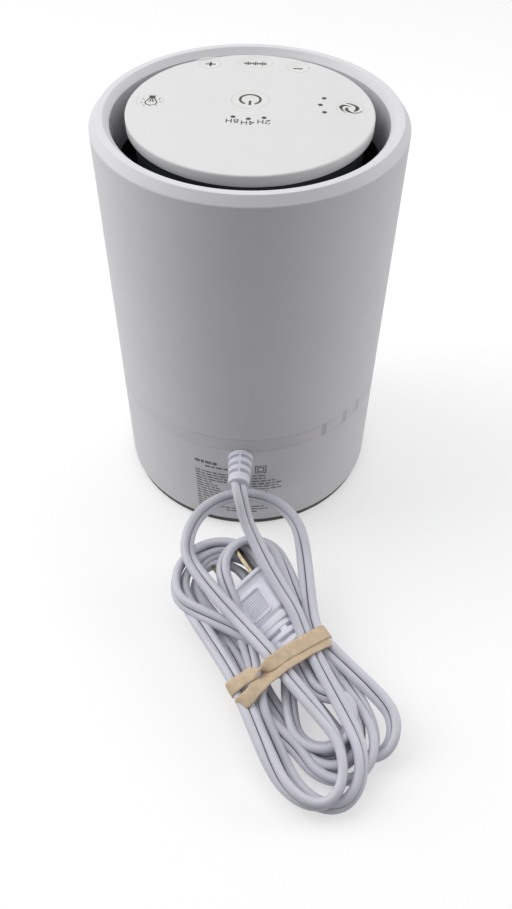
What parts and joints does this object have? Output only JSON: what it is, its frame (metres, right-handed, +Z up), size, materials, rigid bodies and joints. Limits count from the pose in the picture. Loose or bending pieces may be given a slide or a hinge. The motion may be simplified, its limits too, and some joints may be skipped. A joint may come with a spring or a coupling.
{
  "type": "air purifier",
  "caption": "Round tabletop air purifier with a ring air outlet, top control panel with sound and light keys, light ring, drop-out filter and a mains cord tied in a hank.",
  "frame": {"origin": "middle of the base, on the surface that the foot ring stands on", "axes": "+Z up the body axis; -Y towards the back, where the mains cord leaves; +Y towards the user"},
  "size_m": [0.129, 0.2555, 0.1778],
  "materials": {
    "shell_white": "satin moulded",
    "panel_white": "fine texture",
    "bowl_white": "smooth",
    "light_diffuser": "translucent",
    "foot_grey": "matte",
    "dark_plastic": "matte",
    "fan_grey": "satin",
    "key_white": "fine texture",
    "lens": "tinted",
    "circuit_board": "solder mask",
    "switch_black": "matte",
    "zinc_screw": "zinc plated",
    "motor_steel": "galvanised",
    "bearing_steel": "polished",
    "shaft_steel": "ground",
    "speaker_black": "paper cone",
    "filter_cap": "matte",
    "filter_paper": "pleated",
    "filter_mesh": "mesh",
    "carbon": "granular",
    "foam": "foam",
    "tab_cloth": "woven tape",
    "cord_white": "soft PVC",
    "plug_white": "soft PVC",
    "blade_metal": "nickel plated",
    "band_tan": "natural rubber"
  },
  "bodies": {
    "housing": {"foot_ring": "foot_grey", "base_housing": "shell_white", "light_ring": "light_diffuser", "light_strip": "circuit_board", "outer_sleeve": "shell_white", "outlet_bowl": "bowl_white", "air_duct": "dark_plastic", "outlet_guard": "dark_plastic", "diffuser_core": "dark_plastic", "fan_deck": "dark_plastic", "housing_screws": "zinc_screw", "fan_motor": "motor_steel", "motor_bearings": "bearing_steel", "motor_screws": "zinc_screw", "main_board": "circuit_board", "board_screws": "zinc_screw", "speaker": "speaker_black", "speaker_bracket": "dark_plastic", "control_board": "circuit_board", "tact_switches": "switch_black", "control_board_screws": "zinc_screw", "control_panel": "panel_white", "timer_lenses": "lens", "speed_lenses": "lens", "strain_relief": "plug_white", "supply_lead": "cord_white", "cord_lead": "cord_white", "cord_hank": "cord_white", "rubber_band": "band_tan", "plug_body": "plug_white", "plug_blades": "blade_metal"},
    "impeller": {"motor_shaft": "shaft_steel", "impeller": "fan_grey", "impeller_nut": "zinc_screw"},
    "filter": {"filter_bottom_cap": "filter_cap", "filter_top_cap": "filter_cap", "filter_media": "filter_paper", "filter_prefilter": "filter_mesh", "filter_carbon_core": "carbon", "filter_seal": "foam", "filter_pull_tab": "tab_cloth"},
    "filter_cover": {"filter_cover": "foot_grey"},
    "power_button": {"power_button": "key_white"},
    "light_button": {"light_button": "key_white"},
    "fan_button": {"fan_button": "key_white"},
    "sound_button": {"sound_button": "key_white"},
    "volume_up_button": {"volume_up_button": "key_white"},
    "volume_down_button": {"volume_down_button": "key_white"}
  },
  "joints": [
    {"name": "impeller_spin", "type": "hinge", "parent": "housing", "child": "impeller", "pos_m": [0, 0, 0.085], "axis": [0, 0, 1], "continuous": true},
    {"name": "power_press", "type": "slide", "parent": "housing", "child": "power_button", "axis": [0, 0, -1], "range_m": [0, 0.0005], "stiffness_N_per_m": 600, "springref_m": -0.001},
    {"name": "light_press", "type": "slide", "parent": "housing", "child": "light_button", "axis": [0, 0, -1], "range_m": [0, 0.0005], "stiffness_N_per_m": 600, "springref_m": -0.001},
    {"name": "fan_press", "type": "slide", "parent": "housing", "child": "fan_button", "axis": [0, 0, -1], "range_m": [0, 0.0005], "stiffness_N_per_m": 600, "springref_m": -0.001},
    {"name": "sound_press", "type": "slide", "parent": "housing", "child": "sound_button", "axis": [0, 0, -1], "range_m": [0, 0.0005], "stiffness_N_per_m": 600, "springref_m": -0.001},
    {"name": "volume_up_press", "type": "slide", "parent": "housing", "child": "volume_up_button", "axis": [0, 0, -1], "range_m": [0, 0.0005], "stiffness_N_per_m": 600, "springref_m": -0.001},
    {"name": "volume_down_press", "type": "slide", "parent": "housing", "child": "volume_down_button", "axis": [0, 0, -1], "range_m": [0, 0.0005], "stiffness_N_per_m": 600, "springref_m": -0.001},
    {"name": "filter_pull", "type": "slide", "parent": "housing", "child": "filter", "axis": [0, 0, -1], "range_m": [0, 0.075]},
    {"name": "cover_twist", "type": "hinge", "parent": "filter", "child": "filter_cover", "pos_m": [0, 0, 0.0024], "axis": [0, 0, 1], "range_deg": [0, 20]}
  ]
}
